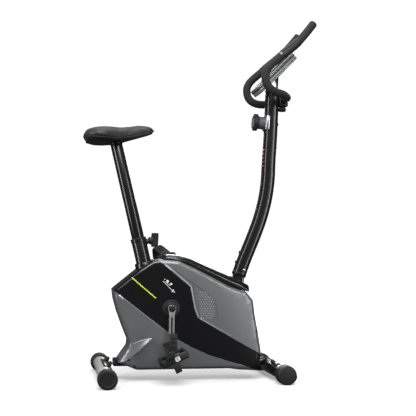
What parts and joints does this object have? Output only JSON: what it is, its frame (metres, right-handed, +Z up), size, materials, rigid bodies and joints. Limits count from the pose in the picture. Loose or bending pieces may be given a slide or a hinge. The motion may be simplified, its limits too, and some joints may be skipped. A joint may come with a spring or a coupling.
{
  "type": "exercise bike",
  "caption": "Upright magnetic exercise bike: strapped pedals, belt-driven flywheel, sliding saddle post, tilting looped handlebar and console.",
  "frame": {"origin": "on the floor under the middle of the bike's bounding box", "axes": "+X forward, from the saddle to the handlebar; +Y to the rider's left; +Z up"},
  "size_m": [0.8412, 0.446, 1.3193],
  "materials": {
    "frame_black": "gloss black powder coat",
    "housing_black": "high gloss black",
    "cover_grey": "satin metallic grey",
    "foot_silver": "satin silver paint",
    "dark_plastic": "fine texture",
    "foam": "closed-cell foam",
    "saddle_vinyl": "grained vinyl",
    "chrome": "polished",
    "zinc": "zinc plated",
    "iron": "machined rim",
    "rubber": "moulded",
    "console_silver": "silver",
    "console_grey": "satin grey"
  },
  "bodies": {
    "frame": {"mast": "frame_black", "front_tube": "frame_black", "base_spine": "frame_black", "seat_tube": "frame_black", "crank_bracket": "frame_black", "flywheel_fork": "frame_black", "rear_foot_bracket": "frame_black", "front_foot_bracket": "frame_black", "console_bracket": "frame_black", "right_shell": "housing_black", "left_shell": "housing_black", "top_cover": "housing_black", "seat_tube_ring": "housing_black", "right_rear_cover": "cover_grey", "right_front_cover": "cover_grey", "left_rear_cover": "cover_grey", "left_front_cover": "cover_grey", "rear_foot_tube": "foot_silver", "front_foot_tube": "foot_silver", "rear_cap_right": "dark_plastic", "rear_cap_left": "dark_plastic", "front_cap_right": "dark_plastic", "front_cap_left": "dark_plastic", "post_bushing": "dark_plastic", "handlebar_clamp": "dark_plastic", "rear_bolt_right": "zinc", "rear_bolt_left": "zinc", "front_bolt_right": "zinc", "front_bolt_left": "zinc", "flywheel_axle": "zinc", "drive_belt": "rubber", "tension_cable": "rubber", "console_face": "console_silver", "console_housing": "console_grey", "tension_collar": "console_grey"},
    "crank": {"crank_axle": "zinc", "drive_pulley": "dark_plastic", "crank_arm_right": "chrome", "crank_arm_left": "chrome"},
    "pedal_right": {"pedal_right": "dark_plastic", "pedal_strap_right": "rubber"},
    "pedal_left": {"pedal_left": "dark_plastic", "pedal_strap_left": "rubber"},
    "flywheel": {"flywheel": "iron"},
    "magnet_arm": {"magnet_arm": "zinc"},
    "saddle_post": {"seat_post": "frame_black", "saddle_clamp": "zinc", "saddle_pan": "dark_plastic", "saddle_cushion": "saddle_vinyl"},
    "seat_knob": {"seat_knob": "dark_plastic"},
    "tension_knob": {"tension_knob": "dark_plastic"},
    "handlebar": {"handlebar": "frame_black", "grip_right": "foam", "grip_left": "foam"},
    "clamp_knob": {"clamp_knob": "dark_plastic"},
    "console_button_1": {"console_button_1": "dark_plastic"},
    "console_button_2": {"console_button_2": "dark_plastic"},
    "console_button_3": {"console_button_3": "dark_plastic"},
    "transport_wheel_right": {"transport_wheel_right": "rubber"},
    "transport_wheel_left": {"transport_wheel_left": "rubber"}
  },
  "joints": [
    {"name": "crank_spin", "type": "hinge", "parent": "frame", "child": "crank", "pos_m": [-0.10061, 0, 0.256], "axis": [0, 1, 0], "continuous": true},
    {"name": "pedal_right_spin", "type": "hinge", "parent": "crank", "child": "pedal_right", "pos_m": [-0.10061, -0.142, 0.091], "axis": [0, 1, 0], "continuous": true},
    {"name": "pedal_left_spin", "type": "hinge", "parent": "crank", "child": "pedal_left", "pos_m": [-0.10061, 0.142, 0.421], "axis": [0, 1, 0], "continuous": true},
    {"name": "flywheel_spin", "type": "hinge", "parent": "frame", "child": "flywheel", "pos_m": [0.07139, 0, 0.19], "axis": [0, 1, 0], "continuous": true},
    {"name": "tension_knob_turn", "type": "hinge", "parent": "frame", "child": "tension_knob", "pos_m": [0.24859, 0, 0.942], "axis": [-0.9986, 0, 0.0523], "range_deg": [0, 270]},
    {"name": "magnet_arm_lift", "type": "hinge", "parent": "frame", "child": "magnet_arm", "pos_m": [0.01893, -0.024, 0.27396], "axis": [0, -1, 0], "range_deg": [0, 6.5]},
    {"name": "seat_height", "type": "slide", "parent": "frame", "child": "saddle_post", "axis": [-0.247, 0, 0.969], "range_m": [-0.11, 0.06]},
    {"name": "seat_knob_pull", "type": "slide", "parent": "frame", "child": "seat_knob", "axis": [0.969, 0, 0.247], "range_m": [0, 0.01], "stiffness_N_per_m": 400},
    {"name": "handlebar_tilt", "type": "hinge", "parent": "frame", "child": "handlebar", "pos_m": [0.31739, 0, 1.026], "axis": [0, 1, 0], "range_deg": [-20, 15]},
    {"name": "clamp_knob_turn", "type": "hinge", "parent": "frame", "child": "clamp_knob", "pos_m": [0.31739, 0, 1.007], "axis": [0, 0, 1], "range_deg": [0, 300]},
    {"name": "console_button_1_press", "type": "slide", "parent": "frame", "child": "console_button_1", "axis": [0.7193, 0, -0.6947], "range_m": [0, 0.0012], "stiffness_N_per_m": 500},
    {"name": "console_button_2_press", "type": "slide", "parent": "frame", "child": "console_button_2", "axis": [0.7193, 0, -0.6947], "range_m": [0, 0.0012], "stiffness_N_per_m": 500},
    {"name": "console_button_3_press", "type": "slide", "parent": "frame", "child": "console_button_3", "axis": [0.7193, 0, -0.6947], "range_m": [0, 0.0012], "stiffness_N_per_m": 500},
    {"name": "transport_wheel_right_spin", "type": "hinge", "parent": "frame", "child": "transport_wheel_right", "pos_m": [0.31239, -0.169, 0.027], "axis": [0, 1, 0], "continuous": true},
    {"name": "transport_wheel_left_spin", "type": "hinge", "parent": "frame", "child": "transport_wheel_left", "pos_m": [0.31239, 0.169, 0.027], "axis": [0, 1, 0], "continuous": true}
  ],
  "couplings": [
    {"joint": "flywheel_spin", "follows": "crank_spin", "ratio": 6.3256},
    {"joint": "magnet_arm_lift", "follows": "tension_knob_turn", "ratio": 0.022222}
  ]
}
